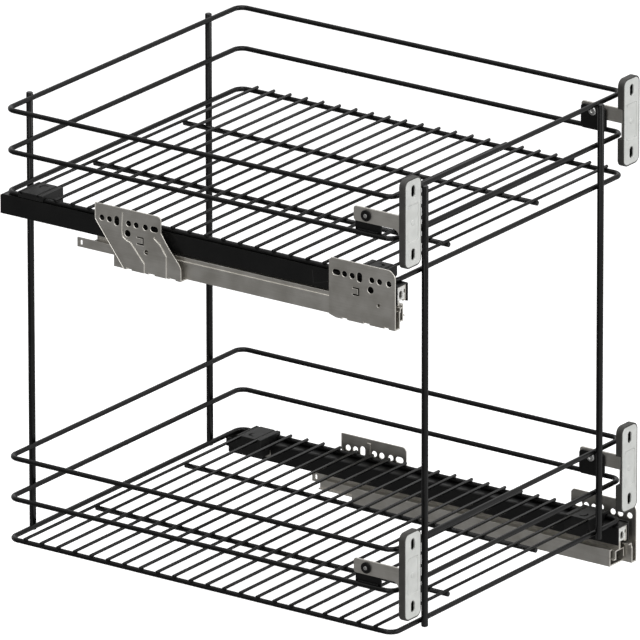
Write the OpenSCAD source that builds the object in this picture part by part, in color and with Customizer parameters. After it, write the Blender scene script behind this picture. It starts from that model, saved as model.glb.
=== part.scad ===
// Two-tier pull out cabinet basket: two wire baskets on four uprights, carried by a
// pair of full-extension ball slides. The left slide runs under the upper basket and the
// right slide under the lower one. Sheet brackets carry the slides on the cabinet's side
// walls, and four tilting brackets carry the door. +Z is up and the door is towards -Y.
// Inside each module, x = 0 and y = 0 are the middle of the baskets and z = 0 is the
// centre of the lower floor wire. placed() moves that to the middle of the underside.

/* [Basket] */
// Width of a basket between the centres of its side wires
ring_w = 389; // [360:1:420]
// Depth of a basket between the centres of its front and back wires
ring_d = 460; // [440:20:480]
// Height from one floor to the other
tier_pitch = 359.6; // [300:0.2:420]
// Height between the wires of a basket's rail
rail_pitch = 42.5; // [38:0.5:48]
// Radius of the wire that runs round a basket
ring_wire_r = 2.4; // [2:0.1:2.6]
// Bend radius of that wire at the corners
ring_corner_r = 10; // [8:1:12]
// Radius of a floor rod
rod_r = 1.5; // [1.2:0.1:1.6]
// Distance from one floor rod to the next
rod_pitch = 20; // [20:10:40]
// Distance of each cross wire from the middle
cross_wire_x = 75; // [50:1:100]
// Radius of an upright
upright_r = 3.25; // [2.5:0.05:3.5]
// Distance of each upright from the middle
upright_x = 149; // [120:1:155]

/* [Slides] */
// Height of the cabinet rail's floor below its basket's floor wire
rail_drop = 44.5; // [43:0.5:46]
// Thickness of the slide's steel
rail_t = 1.4; // [1.2:0.1:1.5]
// Front end of the rails, measured back from the middle
rail_front_y = -241; // [-243:1:-240]
// Rear end of the cabinet rail
cabinet_rail_rear_y = 88; // [60:1:120]
// Rear end of the middle rail
mid_rail_rear_y = 143.5; // [120:0.5:170]
// Rear end of the drawer rail
drawer_rail_rear_y = 205; // [200:1:220]

/* [Side brackets] */
// Outer face of a side bracket, from the middle: half the cabinet's clear width
bracket_face_x = 207; // [206:0.5:210]
// Thickness of the bracket's sheet
bracket_t = 1.3; // [1:0.1:1.5]
// Height of the row of holes above the floor wire
hole_row_z = 1.7; // [0:0.1:3]
// Diameter of the round fixing holes
fixing_hole_d = 6; // [5:0.1:6.5]

/* [Door brackets] */
// Width of the door plate
plate_w = 24.8; // [22:0.2:27]
// Height of the door plate
plate_h = 87; // [80:1:96]
// Distance between the door plate's two slots
slot_pitch = 64; // [60:1:68]
// Width of a slot
slot_w = 6.2; // [5:0.1:7]
// Length of a slot
slot_len = 11.8; // [9:0.2:13]

/* [Hidden] */

$fn = 48;
left = -1;
right = 1;
lower = 0;
upper = tier_pitch;

// Colours of the powder coat, plastics and steels
coat = "#1c1c1c";
plastic = "#2b2a29";
zinc = "#84807a";
nickel = "#c9c9c6";
nylon = "#e6e5e0";

// How far crossing wires sink into each other at a weld
weld_sink = 0.15;
// Running clearance between a roller and its track
roll_gap = 0.1;
// A cut passes this far beyond the faces that it opens
cut = 1;

side_wire_x = ring_w / 2;
end_wire_y = ring_d / 2;
top_rail_z = 2 * rail_pitch;
rod_z = ring_wire_r + rod_r - weld_sink;
rod_half = side_wire_x + 3;
rod_count = floor((ring_d - 2 * rod_pitch) / rod_pitch) + 1;
last_rod_y = end_wire_y - rod_pitch;
cross_wire_half = last_rod_y + 2;
upright_y = end_wire_y + ring_wire_r + upright_r - weld_sink;

// A tab on the middle wire carries each door bracket, which tilts about its screw
tilt_y = -198;
tilt_z = 60.65;
tilt_hole_r = 2.05;
tilt_pin_r = 2;

// Faces of the carrier, from the middle of the basket
carrier_in_x = 180;
carrier_out_x = 198.8;
carrier_t = 1.6;
carrier_top_z = -ring_wire_r;
carrier_bottom_z = -21.5;
carrier_front_y = -237.3;
carrier_rear_y = 233;

// Clips sit between the two floor rods nearest to each end of a carrier
clip_in_x = 164.2;
clip_out_x = 198.5;
clip_front_y = 184;
clip_rear_y = 213.5;
clip_top_z = rod_z + rod_r;
clip_skirt_z = -13.9;

plate_face_y = -246.9;
plate_t = 1.5;
plate_x = 185.2;
tray_rear_y = -239.7;
arm_x = 191.8;
arm_t = 2;
tab_in_x = 189.6;
tab_out_x = 191.7;

// The rear brackets' feet turn in under the rail
foot_t = 1.4;
ground_z = rail_drop + foot_t;
rear_most_y = upright_y + upright_r;
depth_shift = -(plate_face_y + rear_most_y) / 2;

// ---------- placing ----------

// Moves the basket's own centre to the middle of the whole product's underside
module placed() {
    translate([0, depth_shift, ground_z]) children();
}

// Turns a piece that is drawn for the right side over to the left one
module on_side(side) {
    mirror([side < 0 ? 1 : 0, 0, 0]) children();
}

// A drawing of X and Z, pulled out along Y
module along_y(front, rear) {
    translate([0, rear, 0]) rotate([90, 0, 0]) linear_extrude(rear - front) children();
}

// A drawing of Y and Z, pulled out along X
module along_x(inner, outer) {
    translate([inner, 0, 0]) rotate([90, 0, 90]) linear_extrude(outer - inner) children();
}

module rod_x(half, r) {
    translate([-half, 0, 0]) rotate([0, 90, 0]) cylinder(r = r, h = 2 * half);
}

module rod_y(front, rear, r) {
    translate([0, rear, 0]) rotate([90, 0, 0]) cylinder(r = r, h = rear - front);
}

module round_rect(w, h, r) {
    square([w - 2 * r, h], center = true);
    square([w, h - 2 * r], center = true);
    for (x = [-1, 1], y = [-1, 1])
        translate([x * (w / 2 - r), y * (h / 2 - r)]) circle(r = r);
}

module slot_shape(w, len) {
    square([w, len - w], center = true);
    for (s = [-1, 1]) translate([0, s * (len - w) / 2]) circle(r = w / 2);
}

// ---------- wire baskets ----------

// One closed wire: four straight runs and four bends
module ring(z) {
    straight_x = side_wire_x - ring_corner_r;
    straight_y = end_wire_y - ring_corner_r;
    placed() translate([0, 0, z]) color(coat) union() {
        for (s = [-1, 1]) {
            translate([0, s * end_wire_y, 0]) rod_x(straight_x, ring_wire_r);
            translate([s * side_wire_x, 0, 0]) rod_y(-straight_y, straight_y, ring_wire_r);
        }
        for (i = [0:3]) {
            sx = (i == 0 || i == 3) ? 1 : -1;
            sy = (i < 2) ? 1 : -1;
            translate([sx * straight_x, sy * straight_y, 0]) rotate([0, 0, 90 * i])
                rotate_extrude(angle = 90) translate([ring_corner_r, 0]) circle(r = ring_wire_r);
        }
    }
}

module floor_rods(z) {
    placed() color(coat) for (i = [0 : rod_count - 1])
        translate([0, last_rod_y - i * rod_pitch, z + rod_z]) rod_x(rod_half, rod_r);
}

module cross_wires(z) {
    placed() color(coat) for (s = [-1, 1])
        translate([s * cross_wire_x, 0, z]) rod_y(-cross_wire_half, cross_wire_half, ring_wire_r);
}

// A drawn upright with small chamfers on its ends; it reaches over all six rings
module upright(side, end, top) {
    foot_z = -ring_wire_r - 2.9;
    chamfer = 0.5;
    placed() translate([side * upright_x, end * upright_y, foot_z]) color(coat) union() {
        length = top - foot_z;
        cylinder(r1 = upright_r - chamfer, r2 = upright_r, h = chamfer);
        translate([0, 0, chamfer]) cylinder(r = upright_r, h = length - 2 * chamfer);
        translate([0, 0, length - chamfer])
            cylinder(r1 = upright_r, r2 = upright_r - chamfer, h = chamfer);
    }
}

front_upright_top = upper + top_rail_z + 0.5;
rear_upright_top = upper + top_rail_z + 4;

module lower_floor_ring() { ring(lower); }
module lower_middle_ring() { ring(lower + rail_pitch); }
module lower_top_ring() { ring(lower + top_rail_z); }
module lower_floor_rods() { floor_rods(lower); }
module lower_cross_wires() { cross_wires(lower); }
module upper_floor_ring() { ring(upper); }
module upper_middle_ring() { ring(upper + rail_pitch); }
module upper_top_ring() { ring(upper + top_rail_z); }
module upper_floor_rods() { floor_rods(upper); }
module upper_cross_wires() { cross_wires(upper); }
module front_left_upright() { upright(left, -1, front_upright_top); }
module front_right_upright() { upright(right, -1, front_upright_top); }
module rear_left_upright() { upright(left, 1, rear_upright_top); }
module rear_right_upright() { upright(right, 1, rear_upright_top); }

// ---------- carriers and their clips ----------

// Folded sheet: an upside-down channel whose outer wall rises past the side wire
module carrier_profile() {
    bend_r = 2.2;
    lip_z = -1.3;
    web_z = carrier_top_z - carrier_t;
    difference() {
        union() {
            translate([carrier_in_x, carrier_bottom_z])
                square([carrier_out_x - carrier_in_x, carrier_top_z - bend_r - carrier_bottom_z]);
            translate([carrier_in_x + bend_r, carrier_bottom_z])
                square([carrier_out_x - carrier_in_x - bend_r, carrier_top_z - carrier_bottom_z]);
            translate([carrier_in_x + bend_r, carrier_top_z - bend_r]) circle(r = bend_r);
            translate([carrier_out_x - carrier_t, carrier_bottom_z])
                square([carrier_t, lip_z - carrier_bottom_z]);
        }
        translate([carrier_in_x + carrier_t, carrier_bottom_z - cut])
            square([carrier_out_x - carrier_in_x - 2 * carrier_t, web_z - carrier_bottom_z + cut]);
    }
}

// The inner wall has a long window near its rear end, and a shallow tapered pocket is
// pressed into the outer wall behind the front bracket
module carrier(side, z) {
    window_front = 183;
    window_rear = 214.6;
    window_bottom = -18.5;
    window_top = -9;
    window_r = (window_top - window_bottom) / 2;
    pocket_front = -156;
    pocket_rear = -138;
    pocket_top = -5.5;
    pocket_depth = 0.5;
    placed() translate([0, 0, z]) on_side(side) color(coat) difference() {
        along_y(carrier_front_y, carrier_rear_y) carrier_profile();
        along_x(carrier_in_x - cut, carrier_in_x + carrier_t + cut) {
            translate([window_front, window_bottom])
                square([window_rear - window_r - window_front, window_top - window_bottom]);
            translate([window_rear - window_r, window_bottom + window_r]) circle(r = window_r);
        }
        along_x(carrier_out_x - pocket_depth, carrier_out_x + cut) polygon([
            [pocket_front, pocket_top], [pocket_rear, pocket_top],
            [pocket_rear - 1, -18.5], [pocket_front, -13.6]
        ]);
    }
}

// Moulded clip, drawn for the rear end of a carrier. It snaps over two floor rods and the
// side wire, and hooks over the carrier's inner wall.
module clip_body() {
    wall = 2;
    length = clip_rear_y - clip_front_y;
    across = clip_out_x - clip_in_x;
    rod_ys = [last_rod_y - rod_pitch, last_rod_y];
    lip_room = 2.6;
    hollow_top_z = carrier_top_z - 0.5;
    corner_x = 6;
    dimple_x = 174;
    dimple_y = 200.4;
    dimple_r = 4.5;
    dimple_depth = 1.2;
    difference() {
        union() {
            translate([clip_in_x, clip_front_y, carrier_top_z])
                cube([across, length, clip_top_z - carrier_top_z]);
            translate([clip_in_x, clip_front_y, clip_skirt_z])
                cube([carrier_in_x - clip_in_x, length, carrier_top_z - clip_skirt_z]);
        }
        // the two rods lie flush with the top
        for (y = rod_ys) translate([0, y, rod_z]) {
            translate([clip_in_x - cut, 0, 0]) rotate([0, 90, 0])
                cylinder(r = rod_r, h = across + 2 * cut);
            translate([clip_in_x - cut, -rod_r, 0])
                cube([across + 2 * cut, 2 * rod_r, rod_r + cut]);
        }
        // the side wire runs through it, open downwards
        translate([side_wire_x, 0, 0]) rod_y(clip_front_y - cut, clip_rear_y + cut, ring_wire_r);
        translate([side_wire_x - ring_wire_r, clip_front_y - cut, carrier_top_z - cut])
            cube([2 * ring_wire_r, length + 2 * cut, ring_wire_r + cut]);
        // room for the carrier's lip
        translate([side_wire_x + ring_wire_r, clip_front_y - cut, carrier_top_z - cut])
            cube([clip_out_x - side_wire_x, length + 2 * cut, lip_room]);
        // hollow from below
        translate([clip_in_x + wall, clip_front_y + wall, clip_skirt_z - cut])
            cube([carrier_in_x - clip_in_x - 2 * wall, length - 2 * wall,
                hollow_top_z - clip_skirt_z + cut]);
        // the skirt's end rises towards its corner
        along_y(clip_rear_y - wall - cut, clip_rear_y + cut) polygon([
            [clip_in_x - cut, clip_skirt_z - cut], [clip_in_x - cut, -5.5],
            [clip_in_x + wall, -5.5], [clip_in_x + wall + corner_x, clip_skirt_z - cut]
        ]);
        // finger dimple, a crescent
        translate([dimple_x, dimple_y, clip_top_z - dimple_depth]) difference() {
            cylinder(r = dimple_r, h = dimple_depth + cut);
            translate([1.6, -2.4, -cut]) cylinder(r = dimple_r, h = dimple_depth + 3 * cut);
        }
    }
}

// Frames the carrier's rear end; the middle rail's head passes through the frame
module carrier_end_cap() {
    cap_t = 2;
    hook_w = 4;
    hook_h = 9;
    frame_w = 1.6;
    translate([0, carrier_rear_y, 0]) difference() {
        translate([carrier_in_x, 0, carrier_bottom_z])
            cube([carrier_out_x - carrier_in_x, cap_t, carrier_top_z - carrier_bottom_z]);
        translate([carrier_in_x + frame_w, -cut, carrier_bottom_z - cut])
            cube([carrier_out_x - carrier_in_x - 2 * frame_w, cap_t + 2 * cut,
                carrier_top_z - carrier_t - carrier_bottom_z + cut]);
    }
    translate([carrier_in_x - hook_w, clip_rear_y - cut, clip_skirt_z])
        cube([hook_w, carrier_rear_y + cap_t - clip_rear_y + cut, hook_h]);
}

module rear_clip(side, z) {
    placed() translate([0, 0, z]) on_side(side) color(plastic) union() {
        clip_body();
        carrier_end_cap();
    }
}

module front_clip(side, z) {
    placed() translate([0, 0, z]) on_side(side) color(plastic) mirror([0, 1, 0]) clip_body();
}

module left_carrier() { carrier(left, upper); }
module right_carrier() { carrier(right, lower); }
module left_rear_clip() { rear_clip(left, upper); }
module right_rear_clip() { rear_clip(right, lower); }
module left_front_clip() { front_clip(left, upper); }
module right_front_clip() { front_clip(right, lower); }

// ---------- slides ----------

// Rolling space above the middle rail and inside it
upper_roller_r = 2.2;
lower_roller_r = 6.6;
drawer_web_z = carrier_top_z - carrier_t;
drawer_web_under_z = drawer_web_z - rail_t;
mid_head_top_z = drawer_web_under_z - 2 * (upper_roller_r + roll_gap);
cabinet_floor_z = -rail_drop + rail_t;
mid_web_under_z = cabinet_floor_z + 2 * (lower_roller_r + roll_gap);

// Where the slide's parts stand across the carrier
cabinet_in_x = 177;
cabinet_out_x = 200;
hat_in_x = 182;
hat_out_x = 197;
neck_x = 189.5;
mid_t = 1.3;
mid_foot_z = -38.1;
drawer_lip_z = -20.5;

// The floor and inner wall of the fixed rail; its top turns in over the middle rail's foot
module cabinet_rail_inner() {
    top_z = -27;
    turn_in = 4.4;
    translate([cabinet_in_x, -rail_drop]) square([cabinet_out_x - cabinet_in_x, rail_t]);
    translate([cabinet_in_x, -rail_drop]) square([rail_t, top_z + rail_drop]);
    translate([cabinet_in_x, top_z - rail_t]) square([turn_in, rail_t]);
}

// The outer wall steps in once and turns in at the top
module cabinet_rail_outer() {
    joggle = 1.2;
    joggle_z = -27;
    top_z = -23;
    turn_in_x = 193.5;
    wall_x = cabinet_out_x - rail_t;
    translate([wall_x, -rail_drop]) square([rail_t, joggle_z + rail_drop]);
    translate([wall_x - joggle, joggle_z - rail_t]) square([rail_t + joggle, rail_t]);
    translate([wall_x - joggle, joggle_z - rail_t]) square([rail_t, top_z - joggle_z + rail_t]);
    translate([turn_in_x, top_z - rail_t]) square([cabinet_out_x - joggle - turn_in_x, rail_t]);
}

// The lower half of the middle rail, open downwards, with a foot turned in
module mid_rail_hat() {
    foot_w = 2.8;
    web_top_z = mid_web_under_z + mid_t;
    translate([hat_in_x, mid_web_under_z]) square([hat_out_x - hat_in_x, mid_t]);
    for (x = [hat_in_x, hat_out_x - mid_t])
        translate([x, mid_foot_z]) square([mid_t, web_top_z - mid_foot_z]);
    translate([hat_in_x - foot_w, mid_foot_z]) square([foot_w + mid_t, mid_t]);
}

// Its closed head on a double web
module mid_rail_head() {
    head_half = 5.5;
    head_bottom_z = -18;
    web_top_z = mid_web_under_z + mid_t;
    translate([neck_x - mid_t, web_top_z - mid_t / 2])
        square([2 * mid_t, head_bottom_z - web_top_z + mid_t]);
    difference() {
        translate([neck_x - head_half, head_bottom_z])
            square([2 * head_half, mid_head_top_z - head_bottom_z]);
        translate([neck_x - head_half + mid_t, head_bottom_z + mid_t])
            square([2 * (head_half - mid_t), mid_head_top_z - head_bottom_z - 2 * mid_t]);
    }
}

// Fixed inside the carrier: a channel open downwards, its edges turned in under the head
module drawer_rail_profile() {
    in_x = carrier_in_x + carrier_t;
    out_x = carrier_out_x - carrier_t;
    lip = 3;
    translate([in_x, drawer_web_under_z]) square([out_x - in_x, rail_t]);
    for (x = [in_x, out_x - rail_t])
        translate([x, drawer_lip_z]) square([rail_t, drawer_web_z - drawer_lip_z]);
    translate([in_x, drawer_lip_z]) square([rail_t + lip, rail_t]);
    translate([out_x - rail_t - lip, drawer_lip_z]) square([rail_t + lip, rail_t]);
}

// The outer wall reaches further forward and back than the floor and the inner wall
module cabinet_rail(side, z) {
    inner_front_y = rail_front_y + 11.5;
    inner_rear_y = cabinet_rail_rear_y - 6;
    placed() translate([0, 0, z]) on_side(side) color(zinc) union() {
        along_y(inner_front_y, inner_rear_y) cabinet_rail_inner();
        along_y(rail_front_y, cabinet_rail_rear_y) cabinet_rail_outer();
    }
}

// Behind the head the middle rail's tail is its outer leg alone, with an oblong hole
module mid_rail(side, z) {
    front_y = rail_front_y + 8;
    head_rear_y = mid_rail_rear_y - 19.5;
    tail_hole_y = mid_rail_rear_y - 5;
    tail_hole_z = -33;
    tail_hole_w = 2.4;
    tail_hole_len = 5;
    placed() translate([0, 0, z]) on_side(side) color(zinc) difference() {
        union() {
            along_y(front_y, head_rear_y) {
                mid_rail_hat();
                mid_rail_head();
            }
            translate([hat_out_x - mid_t, head_rear_y - 1, mid_foot_z]) cube([
                mid_t, mid_rail_rear_y - head_rear_y + 1, mid_web_under_z + mid_t - mid_foot_z]);
        }
        along_x(hat_out_x - mid_t - cut, hat_out_x + cut) translate([tail_hole_y, tail_hole_z])
            slot_shape(tail_hole_w, tail_hole_len);
    }
}

module drawer_rail(side, z) {
    placed() translate([0, 0, z]) on_side(side) color(zinc)
        along_y(rail_front_y + 5, drawer_rail_rear_y) drawer_rail_profile();
}

// Moulded stop in the mouth of the drawer rail, with an oblong opening
module rail_bumper(side, z) {
    in_x = carrier_in_x + carrier_t + rail_t;
    out_x = carrier_out_x - carrier_t - rail_t;
    bottom_z = drawer_lip_z + rail_t;
    front_y = rail_front_y + 5.6;
    opening_z = -13.6;
    opening_w = 5.4;
    opening_len = 8.4;
    notch_z = -11;
    notch_r = 1.8;
    bumper_t = 2;
    placed() translate([0, 0, z]) on_side(side) color(nylon)
        along_y(front_y, front_y + bumper_t) difference() {
            translate([in_x, bottom_z]) square([out_x - in_x, drawer_web_under_z - bottom_z]);
            for (x = [in_x, out_x]) translate([x, notch_z]) circle(r = notch_r);
            translate([neck_x, opening_z]) slot_shape(opening_w, opening_len);
        }
}

// Where the cages stand with the slide shut
upper_cage_front = -132;
upper_cage_len = 230;
lower_cage_front = -140;
lower_cage_len = 176;
upper_roller_pitch = 19;
lower_roller_pitch = 34;
upper_roller_z = mid_head_top_z + upper_roller_r + roll_gap;
lower_roller_z = cabinet_floor_z + lower_roller_r + roll_gap;

function roller_ys(front, len, pitch) =
    let (n = floor((len - pitch) / pitch))
    [for (i = [0:n]) front + (len - n * pitch) / 2 + i * pitch];

module rollers(side, z, r, roller_z, x0, x1, ys) {
    placed() translate([0, 0, z]) on_side(side) color(nickel) for (y = ys)
        translate([x0, y, roller_z]) rotate([0, 90, 0]) cylinder(r = r, h = x1 - x0);
}

// A cage is a moulded strip with a round pocket for each roller
module cage(side, z, front, len, x0, x1, bottom_z, top_z, r, roller_z, roller_x0, roller_x1, ys) {
    pocket_gap = 0.05;
    placed() translate([0, 0, z]) on_side(side) color(nylon) difference() {
        translate([x0, front, bottom_z]) cube([x1 - x0, len, top_z - bottom_z]);
        for (y = ys) translate([roller_x0 - pocket_gap, y, roller_z]) rotate([0, 90, 0])
            cylinder(r = r + pocket_gap, h = roller_x1 - roller_x0 + 2 * pocket_gap);
    }
}

upper_ys = roller_ys(upper_cage_front, upper_cage_len, upper_roller_pitch);
lower_ys = roller_ys(lower_cage_front, lower_cage_len, lower_roller_pitch);

// Across the slide, each cage is a little wider than its rollers
upper_roller_x = [186, 192.8];
lower_roller_x = [185.5, 193.5];
cage_rim = 1.7;
upper_cage_half_h = 1.3;
lower_cage_half_h = 3;

module upper_cage(side, z) {
    cage(side, z, upper_cage_front, upper_cage_len,
        upper_roller_x[0] - cage_rim, upper_roller_x[1] + cage_rim,
        upper_roller_z - upper_cage_half_h, upper_roller_z + upper_cage_half_h,
        upper_roller_r, upper_roller_z, upper_roller_x[0], upper_roller_x[1], upper_ys);
}

module lower_cage(side, z) {
    cage(side, z, lower_cage_front, lower_cage_len,
        lower_roller_x[0] - cage_rim, lower_roller_x[1] + cage_rim,
        lower_roller_z - lower_cage_half_h, lower_roller_z + lower_cage_half_h,
        lower_roller_r, lower_roller_z, lower_roller_x[0], lower_roller_x[1], lower_ys);
}

module upper_rollers(side, z) {
    rollers(side, z, upper_roller_r, upper_roller_z, upper_roller_x[0], upper_roller_x[1], upper_ys);
}

module lower_rollers(side, z) {
    rollers(side, z, lower_roller_r, lower_roller_z, lower_roller_x[0], lower_roller_x[1], lower_ys);
}

module left_cabinet_rail() { cabinet_rail(left, upper); }
module right_cabinet_rail() { cabinet_rail(right, lower); }
module left_mid_rail() { mid_rail(left, upper); }
module right_mid_rail() { mid_rail(right, lower); }
module left_drawer_rail() { drawer_rail(left, upper); }
module right_drawer_rail() { drawer_rail(right, lower); }
module left_rail_bumper() { rail_bumper(left, upper); }
module right_rail_bumper() { rail_bumper(right, lower); }
module left_upper_cage() { upper_cage(left, upper); }
module left_lower_cage() { lower_cage(left, upper); }
module right_upper_cage() { upper_cage(right, lower); }
module right_lower_cage() { lower_cage(right, lower); }
module left_upper_rollers() { upper_rollers(left, upper); }
module left_lower_rollers() { lower_rollers(left, upper); }
module right_upper_rollers() { upper_rollers(right, lower); }
module right_lower_rollers() { lower_rollers(right, lower); }

// ---------- side brackets ----------

bracket_in_x = bracket_face_x - bracket_t;
bracket_top_z = 16;
front_bracket_front = -241;
front_bracket_rear = -163.1;
rear_foot_front = 12.2;
rear_foot_rear = 81;

// Five round holes and an upright slot, in the same order on every bracket. Two pairs of
// the round holes stand 32 mm apart. The level slot and the lower hole stand apart.
round_hole_steps = [17.7, 8.7, -14.3, -23.3, -34.3];
upright_slot_len = 9.9;
level_slot_len = 9.2;
lower_hole_step = -13;
lower_hole_z = -8.6;
lower_hole_r = 3.5;

module fixing_holes(middle_y, level_slot_y) {
    for (step = round_hole_steps)
        translate([middle_y + step, hole_row_z]) circle(r = fixing_hole_d / 2);
    translate([middle_y, hole_row_z]) slot_shape(fixing_hole_d, upright_slot_len);
    translate([level_slot_y, hole_row_z]) rotate(90) slot_shape(fixing_hole_d, level_slot_len);
    translate([middle_y + lower_hole_step, lower_hole_z]) circle(r = lower_hole_r);
}

// A tongue that is cut free on three sides
module lance(y, z) {
    w = 8;
    h = 8.2;
    gap = 1.4;
    translate([y - w / 2, z + h / 2 - gap]) square([w, gap]);
    translate([y - w / 2, z - h / 2]) square([w, gap]);
    translate([y - w / 2, z - h / 2]) square([gap, h]);
}

// The front bracket ends level with the rail's floor
module front_bracket_outline() {
    corner_r = 9;
    nick = 3;
    slope_y = 8;
    slope_z = 2.4;
    polygon([
        [front_bracket_rear, slope_z - rail_drop], [front_bracket_rear, bracket_top_z - nick],
        [front_bracket_rear - nick, bracket_top_z],
        [front_bracket_front + corner_r, bracket_top_z],
        [front_bracket_front, bracket_top_z - corner_r], [front_bracket_front, -rail_drop],
        [front_bracket_rear - slope_y, -rail_drop]
    ]);
    translate([front_bracket_front + corner_r, bracket_top_z - corner_r]) circle(r = corner_r);
}

// The rear bracket leans: its foot stands forward of its top
module rear_bracket_outline() {
    top_rear_y = 115;
    top_front_y = 35.6;
    corner_r = 4.5;
    polygon([
        [top_rear_y, -1], [top_rear_y, bracket_top_z],
        [top_front_y + corner_r, bracket_top_z], [top_front_y, bracket_top_z - corner_r],
        [top_front_y, -1], [28.2, -12], [14.5, -28.5], [rear_foot_front, -33],
        [rear_foot_front, -ground_z], [rear_foot_rear, -ground_z]
    ]);
    translate([top_front_y + corner_r, bracket_top_z - corner_r]) circle(r = corner_r);
}

// One side of a strip of width w along the given points, with mitred bends
function along(a, b) = (b - a) / norm(b - a);
function across(v) = [-v[1], v[0]];
function strip_side(points, w) = [
    for (i = [0 : len(points) - 1])
        let (
            before = max(i, 1),
            after = min(i + 1, len(points) - 1),
            n = across(along(points[before - 1], points[before]))
                + across(along(points[after - 1], points[after]))
        )
        points[i] + w * n / (n * n)
];

module strip(points, w) {
    back = strip_side(points, -w);
    polygon(concat(strip_side(points, w), [for (i = [len(back) - 1 : -1 : 0]) back[i]]));
}

// Two beads stiffen the rear bracket. They are pressed inwards, so each shows as a groove
// on the outer face and as a ridge on the inner one. The first bends round the lower hole.
bead_depth = 0.9;
bead_groove_w = 2.2;
bead_ridge_w = 4;
rear_beads = [
    [[80.8, 11.7], [81.8, -7], [80.8, -12.4], [76.8, -15], [71.6, -16.6], [55.1, -35.7],
        [55.1, -ground_z]],
    [[44.2, -6.7], [36.5, -11.9], [28.8, -23.2], [28.8, -ground_z]]
];

// Slits at the bend above the foot, each a middle and a width
module foot_notches(notches, foot_z) {
    notch_in_x = bracket_in_x - 1.5;
    for (notch = notches)
        translate([notch_in_x, notch[0] - notch[1] / 2, foot_z - cut])
            cube([bracket_face_x + cut - notch_in_x, notch[1], foot_t + 0.7 + cut]);
}

// Its flange turns in to the rail's outer wall
module front_side_bracket(side, z) {
    notches = [[-181.5, 5.7], [-207.2, 6.8], [-230.6, 5.1]];
    flange_rear = front_bracket_rear - 8;
    pin_hole_r = 1.8;
    placed() translate([0, 0, z]) on_side(side) color(zinc) difference() {
        union() {
            along_x(bracket_in_x, bracket_face_x) difference() {
                front_bracket_outline();
                fixing_holes(-199.1, -172);
                translate([-221.5, -22.5]) circle(r = pin_hole_r);
                lance(-194.7, -13.5);
            }
            translate([cabinet_out_x, front_bracket_front, -rail_drop]) cube([
                bracket_face_x - cabinet_out_x, flange_rear - front_bracket_front, rail_t]);
        }
        foot_notches(notches, -rail_drop);
    }
}

// Its foot turns in under the rail, and a doubler behind the foot's bend stands out behind
module rear_side_bracket(side, z) {
    notches = [[74.3, 6], [47.35, 7.1], [22.65, 7.9]];
    foot_in_x = 178;
    pin_hole_r = 2.4;
    doubler_front = 70;
    doubler_rear = 93.3;
    doubler_top_z = -32;
    placed() translate([0, 0, z]) on_side(side) color(zinc) difference() {
        union() {
            along_x(bracket_in_x, bracket_face_x) difference() {
                rear_bracket_outline();
                fixing_holes(88.8, 43.9);
                translate([53.4, -23.6]) circle(r = pin_hole_r);
                lance(60.7, -13.5);
            }
            along_x(bracket_in_x - bead_depth, bracket_in_x)
                for (bead = rear_beads) strip(bead, bead_ridge_w);
            translate([foot_in_x, rear_foot_front, -ground_z])
                cube([bracket_face_x - foot_in_x, rear_foot_rear - rear_foot_front, foot_t]);
            translate([bracket_in_x - bracket_t, doubler_front, -ground_z])
                cube([bracket_t, doubler_rear - doubler_front, doubler_top_z + ground_z]);
        }
        along_x(bracket_face_x - bead_depth, bracket_face_x + cut)
            for (bead = rear_beads) strip(bead, bead_groove_w);
        foot_notches(notches, -ground_z);
    }
}

module left_front_side_bracket() { front_side_bracket(left, upper); }
module left_rear_side_bracket() { rear_side_bracket(left, upper); }
module right_front_side_bracket() { front_side_bracket(right, lower); }
module right_rear_side_bracket() { rear_side_bracket(right, lower); }

// ---------- tabs for the door brackets ----------

// Sheet tab welded to the inside of the middle wire
module door_tab(side, z) {
    front_y = -213.5;
    rear_y = -183.5;
    bottom_z = 41.2;
    top_z = 65.8;
    corner_r = 3.5;
    weld_h = 3.8;
    weld_in_x = tab_out_x - 0.5;
    weld_out_x = 193;
    placed() translate([0, 0, z]) on_side(side) color(coat) difference() {
        union() {
            along_x(tab_in_x, tab_out_x)
                translate([(front_y + rear_y) / 2, (bottom_z + top_z) / 2])
                    round_rect(rear_y - front_y, top_z - bottom_z, corner_r);
            translate([weld_in_x, front_y + corner_r, bottom_z])
                cube([weld_out_x - weld_in_x, rear_y - front_y - 2 * corner_r, weld_h]);
        }
        translate([side_wire_x, 0, rail_pitch]) rod_y(front_y - cut, rear_y + cut, ring_wire_r);
        translate([tab_in_x - cut, tilt_y, tilt_z]) rotate([0, 90, 0])
            cylinder(r = tilt_pin_r, h = tab_out_x - tab_in_x + 2 * cut);
    }
}

module at_each_tab() {
    for (side = [left, right], z = [lower, upper]) placed() translate([0, 0, z]) on_side(side)
        translate([0, tilt_y, tilt_z]) rotate([0, 90, 0]) children();
}

washer_t = 1.6;
washer_in_x = arm_x + arm_t + 0.1;
washer_out_x = washer_in_x + washer_t;
screw_tip_x = washer_out_x + 0.9;

// A pan head with a drive recess against the tab's inner face, and a shank to the outside
module tab_screws() {
    head_r = 4.5;
    head_h = 2.2;
    head_edge = 0.7;
    head_x = tab_in_x - head_h;
    recess_r = 1.9;
    recess_depth = 1.1;
    color(nickel) at_each_tab() difference() {
        union() {
            translate([0, 0, head_x]) cylinder(r1 = head_r - head_edge, r2 = head_r, h = head_edge);
            translate([0, 0, head_x + head_edge]) cylinder(r = head_r, h = head_h - head_edge);
            translate([0, 0, head_x + head_edge])
                cylinder(r = tilt_pin_r, h = screw_tip_x - head_x - head_edge);
        }
        translate([0, 0, head_x - cut]) cylinder(r = recess_r, h = recess_depth + cut, $fn = 6);
    }
}

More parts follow.
